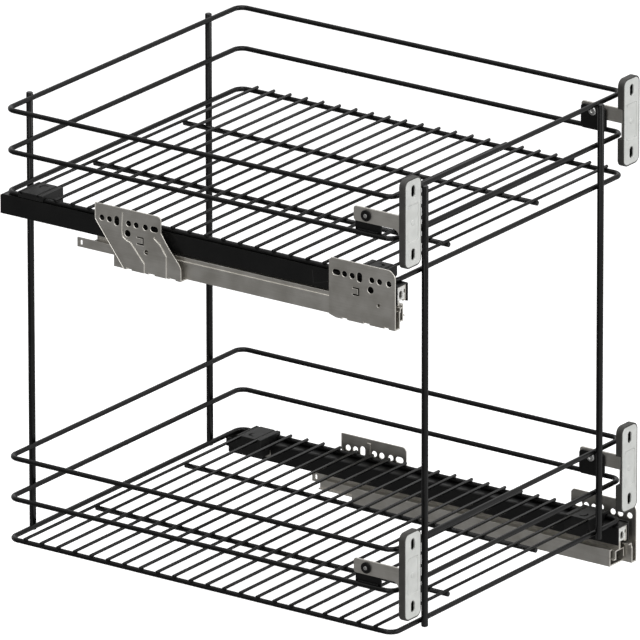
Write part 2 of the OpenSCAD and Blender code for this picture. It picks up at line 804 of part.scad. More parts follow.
// A dished washer outside the arm
module tab_washers() {
    washer_r = 5.65;
    dish_out_r = 4.6;
    dish_in_r = 2.9;
    dish_floor = 0.9;
    color(coat) at_each_tab() translate([0, 0, washer_in_x]) difference() {
        cylinder(r = washer_r, h = washer_t);
        translate([0, 0, -cut]) cylinder(r = tilt_pin_r, h = washer_t + 2 * cut);
        translate([0, 0, dish_floor]) difference() {
            cylinder(r = dish_out_r, h = washer_t);
            translate([0, 0, -cut]) cylinder(r = dish_in_r, h = washer_t + 2 * cut);
        }
    }
}

module upper_left_tab() { door_tab(left, upper); }
module upper_right_tab() { door_tab(right, upper); }
module lower_left_tab() { door_tab(left, lower); }
module lower_right_tab() { door_tab(right, lower); }

// ---------- door brackets ----------

module door_slots() {
    for (s = [-1, 1]) translate([plate_x, tilt_z + s * slot_pitch / 2]) children();
}

// Pressed plate that the door is screwed to, with a sunk panel, a boss and four pips
module door_plate(side, z) {
    corner_r = 6;
    panel_w = 17;
    panel_h = 37;
    panel_r = 1.5;
    panel_sink = 0.5;
    boss_r = 2.6;
    pip_r = 0.9;
    pip_x = 6.8;
    pip_z = 16.8;
    relief = 0.1;
    placed() translate([0, 0, z]) on_side(side) color(nickel) {
        difference() {
            along_y(plate_face_y, plate_face_y + plate_t) difference() {
                translate([plate_x, tilt_z]) round_rect(plate_w, plate_h, corner_r);
                door_slots() slot_shape(slot_w, slot_len);
            }
            along_y(plate_face_y - cut, plate_face_y + panel_sink)
                translate([plate_x, tilt_z]) round_rect(panel_w, panel_h, panel_r);
        }
        along_y(plate_face_y + relief, plate_face_y + panel_sink) translate([plate_x, tilt_z]) {
            circle(r = boss_r);
            for (sx = [-1, 1], sz = [-1, 1]) translate([sx * pip_x, sz * pip_z]) circle(r = pip_r);
        }
    }
}

// Moulded tray round the plate's back. Its inner side is open for the arm, and the door's
// screws are reached through its back.
module door_tray(side, z) {
    rim = 1.5;
    corner_r = 7.5;
    back_t = 1.2;
    seat_r = 6;
    lip_y = plate_face_y + 0.2;
    ledge = 0.8;
    access_w = 9;
    access_len = 16;
    gap_bottom_z = tilt_z - 15.6;
    gap_top_z = tilt_z + 14.8;
    gap_depth = 10;
    in_x = plate_x - plate_w / 2 - rim;
    gap_w = arm_x + arm_t + 0.3 - in_x + cut;
    placed() translate([0, 0, z]) on_side(side) color(plastic) difference() {
        along_y(lip_y, tray_rear_y) translate([plate_x, tilt_z])
            round_rect(plate_w + 2 * rim, plate_h + 2 * rim, corner_r);
        along_y(plate_face_y - cut, plate_face_y + plate_t)
            translate([plate_x, tilt_z]) round_rect(plate_w, plate_h, seat_r);
        along_y(plate_face_y, tray_rear_y - back_t) translate([plate_x, tilt_z])
            round_rect(plate_w - 2 * ledge, plate_h - 2 * ledge, seat_r - ledge);
        along_y(plate_face_y, tray_rear_y + cut) door_slots() slot_shape(access_w, access_len);
        translate([in_x - cut, plate_face_y + plate_t, gap_bottom_z])
            cube([gap_w, gap_depth, gap_top_z - gap_bottom_z]);
    }
}

// Pressed arm: a strip to the tilt screw and a tall flange turned in behind the plate
module door_arm(side, z) {
    strip_h = 15;
    rear_y = -182.8;
    end_r = 3;
    flange_rear_y = -236;
    flange_h = 29.2;
    flange_low_z = tilt_z - 15;
    fillet_r = 7;
    flange_in_x = plate_x - plate_w / 2 - 0.4;
    back_y = plate_face_y + plate_t;
    strip_low_z = tilt_z - strip_h / 2;
    placed() translate([0, 0, z]) on_side(side) color(zinc) difference() {
        union() {
            along_x(arm_x, arm_x + arm_t) {
                translate([back_y, strip_low_z]) square([rear_y - end_r - back_y, strip_h]);
                translate([rear_y - end_r - 1, strip_low_z + end_r])
                    square([end_r + 1, strip_h - 2 * end_r]);
                for (s = [0, 1])
                    translate([rear_y - end_r, strip_low_z + end_r + s * (strip_h - 2 * end_r)])
                        circle(r = end_r);
                translate([back_y, flange_low_z]) square([flange_rear_y - back_y, flange_h]);
                difference() {
                    translate([flange_rear_y, strip_low_z - fillet_r])
                        square([fillet_r, fillet_r]);
                    translate([flange_rear_y + fillet_r, strip_low_z - fillet_r])
                        circle(r = fillet_r);
                }
            }
            translate([flange_in_x, back_y, flange_low_z])
                cube([arm_x - flange_in_x + arm_t, 2, flange_h]);
        }
        translate([arm_x - cut, tilt_y, tilt_z]) rotate([0, 90, 0])
            cylinder(r = tilt_hole_r, h = arm_t + 2 * cut);
    }
}

module upper_left_door_plate() { door_plate(left, upper); }
module upper_right_door_plate() { door_plate(right, upper); }
module lower_left_door_plate() { door_plate(left, lower); }
module lower_right_door_plate() { door_plate(right, lower); }
module upper_left_door_tray() { door_tray(left, upper); }
module upper_right_door_tray() { door_tray(right, upper); }
module lower_left_door_tray() { door_tray(left, lower); }
module lower_right_door_tray() { door_tray(right, lower); }
module upper_left_door_arm() { door_arm(left, upper); }
module upper_right_door_arm() { door_arm(right, upper); }
module lower_left_door_arm() { door_arm(left, lower); }
module lower_right_door_arm() { door_arm(right, lower); }

lower_floor_ring();
lower_middle_ring();
lower_top_ring();
lower_floor_rods();
lower_cross_wires();
upper_floor_ring();
upper_middle_ring();
upper_top_ring();
upper_floor_rods();
upper_cross_wires();
front_left_upright();
front_right_upright();
rear_left_upright();
rear_right_upright();
left_carrier();
right_carrier();
left_front_clip();
left_rear_clip();
right_front_clip();
right_rear_clip();
left_drawer_rail();
right_drawer_rail();
left_mid_rail();
right_mid_rail();
left_cabinet_rail();
right_cabinet_rail();
left_rail_bumper();
right_rail_bumper();
left_upper_cage();
left_lower_cage();
right_upper_cage();
right_lower_cage();
left_upper_rollers();
left_lower_rollers();
right_upper_rollers();
right_lower_rollers();
left_front_side_bracket();
left_rear_side_bracket();
right_front_side_bracket();
right_rear_side_bracket();
upper_left_tab();
upper_right_tab();
lower_left_tab();
lower_right_tab();
tab_screws();
tab_washers();
upper_left_door_plate();
upper_right_door_plate();
lower_left_door_plate();
lower_right_door_plate();
upper_left_door_tray();
upper_right_door_tray();
lower_left_door_tray();
lower_right_door_tray();
upper_left_door_arm();
upper_right_door_arm();
lower_left_door_arm();
lower_right_door_arm();
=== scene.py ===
import math
import bmesh
import bpy
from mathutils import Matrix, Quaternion, Vector


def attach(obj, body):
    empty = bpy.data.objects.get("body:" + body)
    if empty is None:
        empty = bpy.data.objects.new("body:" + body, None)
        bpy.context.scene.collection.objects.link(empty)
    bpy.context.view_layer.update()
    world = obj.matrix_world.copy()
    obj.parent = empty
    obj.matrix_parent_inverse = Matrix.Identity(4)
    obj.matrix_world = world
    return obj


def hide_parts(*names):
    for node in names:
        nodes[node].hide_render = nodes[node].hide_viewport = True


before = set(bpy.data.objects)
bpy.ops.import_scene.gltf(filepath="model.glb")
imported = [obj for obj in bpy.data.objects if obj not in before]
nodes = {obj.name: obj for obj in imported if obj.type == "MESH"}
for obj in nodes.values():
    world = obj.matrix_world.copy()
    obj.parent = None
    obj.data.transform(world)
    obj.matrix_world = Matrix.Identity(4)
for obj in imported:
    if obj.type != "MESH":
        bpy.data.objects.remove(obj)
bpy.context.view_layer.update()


# ---- The photograph's view ----
# A long lens, seen from the front left and a little above. The picture is square.

view_side = math.radians(54.593)
view_height = math.radians(19.469)
view_distance = 15.027
view_middle = Vector((-0.00186, -0.00288, 0.26573))
view_roll = -0.0012
sensor_width = 36
picture_pixels = 640
focal_pixels = 15365.5
farthest_seen = 60


def linked(name, data):
    """A new object in the scene."""
    made = bpy.data.objects.new(name, data)
    bpy.context.scene.collection.objects.link(made)
    return made


to_camera = Vector((-math.sin(view_side) * math.cos(view_height),
                    -math.cos(view_side) * math.cos(view_height), math.sin(view_height)))
camera = linked("camera", bpy.data.cameras.new("camera"))
bpy.context.scene.camera = camera
camera.location = view_middle + to_camera * view_distance
roll = Quaternion((0, 0, 1), view_roll)
camera.rotation_euler = (to_camera.to_track_quat("Z", "Y") @ roll).to_euler()
camera.data.sensor_width = sensor_width
camera.data.lens = sensor_width * focal_pixels / picture_pixels
camera.data.clip_end = farthest_seen
bpy.context.scene.view_settings.view_transform = "Standard"


# ---- Floor, surround and lamps ----
# A white studio with three soft boxes. Reflections see a white room with two dark flags:
# one low on the left behind the basket darkens the side faces, and one low behind it, as
# the camera sees it, gives every wire a dark outline.

dark_side = (-0.77, 0.55, -0.33)
dark_edge = 0.45
dark_core = 0.9
outline_side = (0.65, 0.46, -0.605)
outline_edge = 0.56
outline_core = 0.9
outline_dark = 0.06
studio_white = 1.0
studio_dark = 0.22
ambient = 0.42
floor_height = -0.10
floor_reach = 30
floor_glow = 0.55
lamp_target = Vector((0, 0, 0.25))


class Socket:
    """An output in a node tree. Arithmetic on it adds Math nodes."""

    def __init__(self, tree, output=None):
        self.tree = tree
        self.output = output

    def node(self, kind, settings, inputs, output=0):
        made = self.tree.nodes.new(kind)
        for name, value in settings.items():
            if name == "stops":
                ramp = made.color_ramp
                while len(ramp.elements) < len(value):
                    ramp.elements.new(0.5)
                for stop, (place, colour) in zip(ramp.elements, value):
                    stop.position = place
                    stop.color = colour + (1,)
            else:
                setattr(made, name, value)
        for name, value in inputs.items():
            for part in value if isinstance(value, list) else [value]:
                if isinstance(part, Socket):
                    self.tree.links.new(part.output, made.inputs[name])
                else:
                    made.inputs[name].default_value = part
        return Socket(self.tree, made.outputs[output] if made.outputs else None)

    def maths(self, operation, first, second=0.0):
        return self.node("ShaderNodeMath", {"operation": operation}, {0: first, 1: second})

    def __add__(self, other):
        return self.maths("ADD", self, other)

    def __sub__(self, other):
        return self.maths("SUBTRACT", self, other)

    def __rsub__(self, other):
        return self.maths("SUBTRACT", other, self)

    def __mul__(self, other):
        return self.maths("MULTIPLY", self, other)

    def __mod__(self, other):
        return self.maths("MODULO", self, other)

    def __pow__(self, other):
        return self.maths("POWER", self, other)

    def __abs__(self):
        return self.maths("ABSOLUTE", self)

    def __lt__(self, other):
        return self.maths("LESS_THAN", self, other)

    __radd__ = __add__
    __rmul__ = __mul__


def new_tree(owner):
    owner.use_nodes = True
    owner.node_tree.nodes.clear()
    return Socket(owner.node_tree)


def eased(value, low, high):
    """0 at the low value and 1 at the high one, with a soft bend at both."""
    return value.node("ShaderNodeMapRange", {"interpolation_type": "SMOOTHSTEP"}, {
        "Value": value, "From Min": low, "From Max": high})


def flag(direction, side, edge, core):
    """A dark flag hung on this side of the room: 0 beyond its edge and 1 in its core."""
    toward = direction.node("ShaderNodeVectorMath", {"operation": "DOT_PRODUCT"},
                            {0: direction, 1: side}, "Value")
    return eased(toward, edge, core)


surround = bpy.data.worlds.new("surround")
bpy.context.scene.world = surround
tree = new_tree(surround)
camera_ray = tree.node("ShaderNodeLightPath", {}, {}, "Is Camera Ray")
glossy_ray = tree.node("ShaderNodeLightPath", {}, {}, "Is Glossy Ray")
clear_ray = tree.node("ShaderNodeLightPath", {}, {}, "Is Transmission Ray")
direction = tree.node("ShaderNodeTexCoord", {}, {}, "Generated")
darkness = flag(direction, dark_side, dark_edge, dark_core)
outline = flag(direction, outline_side, outline_edge, outline_core)
room = studio_white - darkness * (studio_white - studio_dark)
reflected = room * (1 - outline * (1 - outline_dark))
shown = camera_ray + clear_ray
hidden = 1 - shown
strength = shown + hidden * glossy_ray * reflected + hidden * (1 - glossy_ray) * ambient
glow = tree.node("ShaderNodeBackground", {}, {"Color": (1, 1, 1, 1), "Strength": strength})
tree.node("ShaderNodeOutputWorld", {}, {"Surface": glow})

floor_corners = [(x * floor_reach, y * floor_reach, floor_height)
                 for x, y in ((-1, -1), (1, -1), (1, 1), (-1, 1))]
floor_mesh = bpy.data.meshes.new("floor")
floor_mesh.from_pydata(floor_corners, [], [(0, 1, 2, 3)])
floor = linked("floor", floor_mesh)
floor_paint = bpy.data.materials.new("floor_paint")
tree = new_tree(floor_paint)
camera_ray = tree.node("ShaderNodeLightPath", {}, {}, "Is Camera Ray")
paint = tree.node("ShaderNodeBsdfDiffuse", {}, {"Color": (0.8, 0.8, 0.8, 1)})
white = tree.node("ShaderNodeEmission", {}, {"Color": (1, 1, 1, 1), "Strength": floor_glow})
lit = tree.node("ShaderNodeAddShader", {}, {0: paint, 1: white})
surface = tree.node("ShaderNodeMixShader", {}, {0: camera_ray, 1: paint, 2: lit})
tree.node("ShaderNodeOutputMaterial", {}, {"Surface": surface})
floor_mesh.materials.append(floor_paint)
floor.visible_glossy = False


def softbox(name, place, size, power):
    lamp = bpy.data.lights.new(name, "AREA")
    lamp.shape = "RECTANGLE"
    lamp.size, lamp.size_y = size
    lamp.energy = power
    holder = linked(name, lamp)
    holder.location = place
    holder.rotation_euler = (Vector(place) - lamp_target).to_track_quat("Z", "Y").to_euler()


softbox("front_softbox", place=(0.6, -3.2, 2.0), size=(2.4, 1.8), power=60)
softbox("top_softbox", place=(-0.6, -0.2, 3.2), size=(2.4, 2.4), power=60)
softbox("side_softbox", place=(-3.4, -0.6, 1.2), size=(1.6, 1.6), power=22)


# ---- The wires that run round the baskets ----
# Six closed wires of drawn steel, bent at four corners and butt-welded in the middle of
# the back. The welded baskets are powder coated black: the coat adds its thickness to
# every wire and has a faint orange peel.

tier_heights = {"lower": 0.0, "upper": 0.3596}
ring_heights = {"floor": 0.0, "middle": 0.0425, "top": 0.085}
ring_width = 0.389
ring_depth = 0.460
coat = 0.0001
ring_radius = 0.0024 + coat
ring_corner = 0.010
ring_corner_points = 12
ring_sides = 20
butt_weld_rings = 10
butt_weld_length = 0.9
butt_weld_swell = 1.07
basket_setback = 0.004075
floor_wire_height = 0.0459


def placed(x, y, z):
    """From the lower basket's own middle to the middle of the whole product's underside."""
    return (x, y + basket_setback, z + floor_wire_height)


def noise(place, scale, detail):
    return place.node("ShaderNodeTexNoise", {}, {"Vector": place, "Scale": scale, "Detail": detail})


def tones(mask, low, high):
    """A colour between two stops. Each stop is a value of the mask and its colour."""
    return mask.node("ShaderNodeValToRGB", {"stops": [low, high]}, {"Fac": mask})


def bump(height, strength, depth, under=None):
    inputs = {"Strength": strength, "Distance": depth, "Height": height}
    if under is not None:
        inputs["Normal"] = under
    return height.node("ShaderNodeBump", {}, inputs)


def material(name, dress):
    """A material; dress(place) gives its shader's inputs at a place on the piece."""
    made = bpy.data.materials.new(name)
    tree = new_tree(made)
    place = tree.node("ShaderNodeTexCoord", {}, {}, "Object")
    shader = tree.node("ShaderNodeBsdfPrincipled", {}, dress(place))
    tree.node("ShaderNodeOutputMaterial", {}, {"Surface": shader})
    return made


def powder_coat(place):
    peel = noise(place, scale=950, detail=2)
    cloud = noise(place, scale=70, detail=3)
    return {
        "Base Color": tones(cloud, (0.35, (0.003, 0.003, 0.003)), (0.7, (0.0055, 0.0055, 0.0054))),
        "Roughness": 0.17 + cloud * 0.12, "Specular IOR Level": 0.17,
        "Normal": bump(peel, strength=0.25, depth=0.0001)}


black_coat = material("black_powder_coat", powder_coat)


def grown(name, build, inputs):
    """A Geometry Nodes tree with named inputs; build(tree, entry) gives its last geometry."""
    group = bpy.data.node_groups.new(name, "GeometryNodeTree")
    for label, (kind, value) in inputs.items():
        socket = group.interface.new_socket(name=label, in_out="INPUT", socket_type="NodeSocket" + kind)
        socket.default_value = value
    group.interface.new_socket(name="Geometry", in_out="OUTPUT", socket_type="NodeSocketGeometry")
    entry_node = group.nodes.new("NodeGroupInput")
    entry = {label: Socket(group, entry_node.outputs[label]) for label in inputs}
    tree = Socket(group)
    smooth = tree.node("GeometryNodeSetShadeSmooth", {}, {"Geometry": build(tree, entry)})
    real = tree.node("GeometryNodeRealizeInstances", {}, {"Geometry": smooth})
    coated = tree.node("GeometryNodeSetMaterial", {}, {"Geometry": real, "Material": black_coat})
    tree.node("NodeGroupOutput", {}, {"Geometry": coated})
    return group


def settled(piece):
    """The piece's modifiers worked into a plain mesh."""
    bpy.context.view_layer.update()
    graph = bpy.context.evaluated_depsgraph_get()
    mesh = bpy.data.meshes.new_from_object(piece.evaluated_get(graph))
    piece.modifiers.clear()
    piece.data = mesh
    mesh.name = piece.name
    return piece


def grow(name, group, values):
    """One plain piece from the tree, with these values for its inputs."""
    piece = linked(name, bpy.data.meshes.new(name))
    modifier = piece.modifiers.new("grow", "NODES")
    modifier.node_group = group
    for item in group.interface.items_tree:
        if item.in_out == "INPUT" and item.name in values:
            modifier[item.identifier] = values[item.name]
    return settled(piece)


def stands_for(piece, body, slot, *replaced):
    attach(piece, body)
    if replaced:
        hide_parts(*replaced)


def closed_wire(tree, entry):
    """A rounded rectangle of wire, with a small swelling where its ends are welded."""
    path = tree.node("GeometryNodeCurvePrimitiveQuadrilateral", {}, {
        "Width": entry["Width"], "Height": entry["Depth"]})
    bent = tree.node("GeometryNodeFilletCurve", {"mode": "POLY"}, {
        "Curve": path, "Radius": entry["Corner"], "Count": ring_corner_points})
    section = tree.node("GeometryNodeCurvePrimitiveCircle", {}, {
        "Resolution": ring_sides, "Radius": entry["Radius"]})
    wire = tree.node("GeometryNodeCurveToMesh", {}, {"Curve": bent, "Profile Curve": section})
    bead = tree.node("GeometryNodeMeshUVSphere", {}, {
        "Segments": ring_sides, "Rings": butt_weld_rings, "Radius": 1})
    at_back = tree.node("ShaderNodeCombineXYZ", {}, {"X": 0.0, "Y": entry["Depth"] * 0.5, "Z": 0.0})
    bead_size = tree.node("ShaderNodeCombineXYZ", {}, {
        "X": entry["Radius"] * butt_weld_length, "Y": entry["Radius"] * butt_weld_swell,
        "Z": entry["Radius"] * butt_weld_swell})
    butt_weld = tree.node("GeometryNodeTransform", {}, {
        "Geometry": bead, "Translation": at_back, "Scale": bead_size})
    both = tree.node("GeometryNodeJoinGeometry", {}, {"Geometry": [wire, butt_weld]})
    return tree.node("GeometryNodeTransform", {}, {"Geometry": both, "Translation": entry["Middle"]})


closed_wires = grown("closed_wire", closed_wire, {
    "Width": ("Float", ring_width), "Depth": ("Float", ring_depth), "Corner": ("Float", ring_corner),
    "Radius": ("Float", ring_radius), "Middle": ("Vector", (0, 0, 0))})
for tier, tier_height in tier_heights.items():
    for level, height in ring_heights.items():
        ring = grow(f"{tier}_{level}_wire", closed_wires, {"Middle": placed(0, 0, tier_height + height)})
        stands_for(ring, "basket", "black_wire", f"{tier}_{level}_ring")


# ---- Floor rods, cross wires and their welds ----
# Each floor is 22 thin rods laid on the floor wire and on two cross wires. Every crossing
# is resistance-welded, which squeezes a small collar out round the joint.

rod_radius = 0.0015 + coat
rod_chamfer = 0.0003
rod_sides = 14
rod_rows = 22
rod_pitch = 0.020
first_rod = -0.210
rod_reach = 0.1975
rod_height = 0.00375
cross_wire_place = 0.075
cross_wire_reach = 0.212
wire_points = 4
weld_height = 0.0023
weld_size = (0.0022, 0.0020, 0.0009)
weld_sides = 10
weld_rings = 6
quarter_turn = math.pi / 2


def straight_wires(tree, entry):
    """Straight wires with chamfered ends: four points along each, the end ones narrower."""
    line = tree.node("GeometryNodeCurvePrimitiveLine", {}, {})
    points = tree.node("GeometryNodeResampleCurve", {}, {"Curve": line, "Count": wire_points})
    step = tree.node("GeometryNodeInputIndex", {}, {}) - (wire_points - 1) / 2
    inner = abs(step) < 1.0
    side = tree.maths("SIGN", step)
    along = side * (entry["Reach"] - inner * entry["Chamfer"])
    spot = tree.node("ShaderNodeCombineXYZ", {}, {"X": 0.0, "Y": 0.0, "Z": along})
    path = tree.node("GeometryNodeSetPosition", {}, {"Geometry": points, "Position": spot})
    section = tree.node("GeometryNodeCurvePrimitiveCircle", {}, {
        "Resolution": entry["Sides"], "Radius": 1})
    width = entry["Radius"] - (1 - inner) * entry["Chamfer"]
    wire = tree.node("GeometryNodeCurveToMesh", {}, {
        "Curve": path, "Profile Curve": section, "Scale": width, "Fill Caps": True})
    row = tree.node("GeometryNodeMeshLine", {}, {
        "Count": entry["Count"], "Start Location": entry["First"], "Offset": entry["Step"]})
    turn = tree.node("FunctionNodeEulerToRotation", {}, {"Euler": entry["Turn"]})
    return tree.node("GeometryNodeInstanceOnPoints", {}, {
        "Points": row, "Instance": wire, "Rotation": turn})


def weld_beads(tree, entry):
    """A grid of small collars, one at each crossing."""
    row = tree.node("GeometryNodeMeshLine", {}, {
        "Count": entry["Count"], "Start Location": entry["First"], "Offset": entry["Step"]})
    column = tree.node("GeometryNodeMeshLine", {}, {
        "Count": entry["Rows"], "Offset": entry["Row step"]})
    grid = tree.node("GeometryNodeInstanceOnPoints", {}, {"Points": row, "Instance": column})
    spots = tree.node("GeometryNodeRealizeInstances", {}, {"Geometry": grid})
    bead = tree.node("GeometryNodeMeshUVSphere", {}, {
        "Segments": weld_sides, "Rings": weld_rings, "Radius": 1})
    return tree.node("GeometryNodeInstanceOnPoints", {}, {
        "Points": spots, "Instance": bead, "Scale": entry["Size"]})


straight = grown("straight_wires", straight_wires, {
    "Reach": ("Float", rod_reach), "Radius": ("Float", rod_radius),
    "Chamfer": ("Float", rod_chamfer), "Sides": ("Int", rod_sides), "Count": ("Int", 1),
    "First": ("Vector", (0, 0, 0)), "Step": ("Vector", (0, 0, 0)), "Turn": ("Vector", (0, 0, 0))})
welds = grown("weld_beads", weld_beads, {
    "Count": ("Int", 1), "First": ("Vector", (0, 0, 0)), "Step": ("Vector", (0, 0, 0)),
    "Rows": ("Int", 1), "Row step": ("Vector", (0, 0, 0)), "Size": ("Vector", (1, 1, 1))})
for tier, height in tier_heights.items():
    rods = grow(f"{tier}_rods", straight, {
        "Reach": rod_reach, "Radius": rod_radius, "Count": rod_rows, "Sides": rod_sides,
        "First": placed(0, first_rod, height + rod_height), "Step": (0, rod_pitch, 0),
        "Turn": (0, quarter_turn, 0)})
    stands_for(rods, "basket", "black_wire", f"{tier}_floor_rods")
    cross = grow(f"{tier}_cross_pair", straight, {
        "Reach": cross_wire_reach, "Radius": ring_radius, "Count": 2, "Sides": ring_sides,
        "First": placed(-cross_wire_place, 0, height), "Step": (2 * cross_wire_place, 0, 0),
        "Turn": (quarter_turn, 0, 0)})
    stands_for(cross, "basket", "black_wire", f"{tier}_cross_wires")
    for name, reach in (("edge", ring_width / 2), ("cross", cross_wire_place)):
        collars = grow(f"{tier}_{name}_welds", welds, {
            "Count": rod_rows, "First": placed(-reach, first_rod, height + weld_height),
            "Step": (0, rod_pitch, 0), "Rows": 2, "Row step": (2 * reach, 0, 0),
            "Size": weld_size})
        stands_for(collars, "basket", "black_wire")


# ---- Uprights ----
# Four thicker wires with chamfered ends tie the two baskets together. The front ones stop
# at the top wire and the rear ones stand a little above it; each is welded at six wires.

upright_radius = 0.00325 + coat
upright_chamfer = 0.0006
upright_sides = 28
upright_place = 0.149
upright_row = 0.2353
upright_foot = -0.0053
upright_tops = {"front": 0.4451, "rear": 0.4486}
upright_weld_size = (0.0026, 0.0011, 0.0022)

for end, top in upright_tops.items():
    for side, sign in (("left", -1), ("right", 1)):
        row = -upright_row if end == "front" else upright_row
        half = (top - upright_foot) / 2
        upright = grow(f"{end}_{side}_post", straight, {
            "Reach": half, "Radius": upright_radius, "Chamfer": upright_chamfer, "Count": 1,
            "Sides": upright_sides, "First": placed(sign * upright_place, row, upright_foot + half)})
        stands_for(upright, "basket", "black_wire", f"{end}_{side}_upright")
        weld_row = row + (upright_radius if end == "front" else -upright_radius)
        collars = grow(f"{end}_{side}_post_welds", welds, {
            "Count": len(ring_heights), "First": placed(sign * upright_place, weld_row, 0),
            "Step": (0, 0, ring_heights["middle"]), "Rows": len(tier_heights),
            "Row step": (0, 0, tier_heights["upper"]), "Size": upright_weld_size})
        stands_for(collars, "basket", "black_wire")


# ---- Slide carriers ----
# Folded black sheet, an upside-down channel along the side wire that holds the moving
# rail. It is coated like the baskets, but on flat sheet the coat lies smoother.

sheet_edge = 0.0003
same_point = 0.000003
on_cut = 0.000002
flat_angle = math.radians(0.5)
sharp_angle = math.radians(32)
flat_weight = 90


def coated_sheet(place):
    peel = noise(place, scale=600, detail=2)
    cloud = noise(place, scale=35, detail=3)
    return {
        "Base Color": tones(cloud, (0.3, (0.0025, 0.0025, 0.0025)), (0.75, (0.004, 0.004, 0.0038))),
        "Roughness": 0.30 + cloud * 0.12, "Specular IOR Level": 0.25,
        "Normal": bump(peel, strength=0.2, depth=0.0001)}


black_sheet = material("black_coated_sheet", coated_sheet)


def rounded(node, name, radius, finish, segments=2, cuts=()):
    """The solid's own form, with every sharp edge broken to a small radius. Faces with
    holes are first divided at cuts, pairs of axis and distance, to keep the bevels clean."""
    form = bmesh.new()
    form.from_mesh(nodes[node].data)
    bmesh.ops.remove_doubles(form, verts=form.verts, dist=same_point)
    for axis, distance in cuts:
        toward = Vector((axis == "x", axis == "y", axis == "z"))
        everything = form.verts[:] + form.edges[:] + form.faces[:]
        cut = bmesh.ops.bisect_plane(form, geom=everything, dist=on_cut,
                                     plane_co=toward * distance, plane_no=toward)
        for part in cut["geom_cut"]:
            if isinstance(part, bmesh.types.BMEdge):
                part.seam = True
    bmesh.ops.dissolve_limit(form, angle_limit=flat_angle, verts=form.verts, edges=form.edges,
                             delimit={"SEAM"})
    mesh = bpy.data.meshes.new(name)
    form.to_mesh(mesh)
    form.free()
    mesh.shade_smooth()
    mesh.materials.clear()
    mesh.materials.append(finish)
    for face in mesh.polygons:
        face.material_index = 0
    piece = linked(name, mesh)
    edges = piece.modifiers.new("broken_edges", "BEVEL")
    edges.width = radius
    edges.segments = segments
    edges.limit_method = "ANGLE"
    edges.angle_limit = sharp_angle
    edges.use_clamp_overlap = False
    flats = piece.modifiers.new("flat_faces", "WEIGHTED_NORMAL")
    flats.weight = flat_weight
    flats.keep_sharp = True
    return settled(piece)


for side in ("left", "right"):
    carrier = rounded(f"{side}_carrier", f"{side}_carrier_sheet", sheet_edge, black_sheet)
    stands_for(carrier, "basket", "black_sheet", f"{side}_carrier")


# ---- Clips on the carriers ----
# Moulded black plastic that snaps over two floor rods and the side wire and hooks over
# the carrier. The mould leaves a fine matt grain and soft edges. Each has a crescent
# finger dimple, and its faces are divided through that, a little off its middle.

clip_edge = 0.0003
dimple_cut = (0.1736, 0.2008)


def moulded_plastic(place):
    grain = noise(place, scale=2200, detail=2)
    cloud = noise(place, scale=120, detail=2)
    return {
        "Base Color": tones(cloud, (0.3, (0.004, 0.004, 0.004)), (0.7, (0.007, 0.007, 0.0066))),
        "Roughness": 0.42 + cloud * 0.14, "Specular IOR Level": 0.22,
        "Normal": bump(grain, strength=0.4, depth=0.00006)}


black_plastic = material("black_moulded_plastic", moulded_plastic)
for side, across in (("left", -1), ("right", 1)):
    for end, along in (("front", -1), ("rear", 1)):
        cut = placed(across * dimple_cut[0], along * dimple_cut[1], 0)
        clip = rounded(f"{side}_{end}_clip", f"{side}_{end}_clip_moulding", clip_edge, black_plastic,
                       cuts=[("x", cut[0]), ("y", cut[1])])
        stands_for(clip, "basket", "black_plastic", f"{side}_{end}_clip")


# ---- Slides ----
# Roll-formed steel rails, zinc plated: streaked along the rolling direction and faintly
# mottled. The cabinet rail stays, the middle rail makes half the travel, the third all.

rail_edge = 0.0003
rail_bodies = {"cabinet": "cabinet_side", "mid": "{}_middle_slide", "drawer": "basket"}


def zinc_plating(place):
    drawn_out = place.node("ShaderNodeMapping", {}, {"Vector": place, "Scale": (1, 0.03, 1)})
    streaks = noise(drawn_out, scale=900, detail=3)
    mottle = noise(place, scale=55, detail=4)
    spangle = noise(place, scale=700, detail=2)
    shade = mottle * 0.7 + streaks * 0.3
    return {
        "Base Color": tones(shade, (0.36, (0.52, 0.50, 0.455)), (0.62, (0.63, 0.61, 0.57))),
        "Metallic": 1.0, "Roughness": 0.33 + shade * 0.16,
        "Normal": bump(streaks * 0.6 + spangle * 0.4, strength=0.12, depth=0.0001)}


zinc = material("zinc_plated_steel", zinc_plating)
for side in ("left", "right"):
    for rail, body in rail_bodies.items():
        channel = rounded(f"{side}_{rail}_rail", f"{side}_{rail}_channel", rail_edge, zinc)
        stands_for(channel, body.format(side), "zinc_steel", f"{side}_{rail}_rail")


# ---- Rollers, their cages and the rail bumpers ----
# Bright steel rollers run in moulded nylon cages between the rails, and a nylon bumper
# closes the front of each moving rail.

bumper_edge = 0.0003
cage_edge = 0.0002
roller_edge = 0.0002


def moulded_nylon(place):
    cloud = noise(place, scale=160, detail=2)
    grain = noise(place, scale=1800, detail=2)
    return {
        "Base Color": tones(cloud, (0.3, (0.60, 0.60, 0.58)), (0.7, (0.70, 0.70, 0.68))),
        "Roughness": 0.38 + cloud * 0.16, "Normal": bump(grain, strength=0.2, depth=0.00005)}


def turned_steel(place):
    turned = noise(place, scale=1300, detail=3)
    return {
        "Base Color": tones(turned, (0.3, (0.50, 0.50, 0.49)), (0.7, (0.60, 0.60, 0.59))),
        "Metallic": 1.0, "Roughness": 0.22 + turned * 0.14,
        "Normal": bump(turned, strength=0.1, depth=0.00005)}


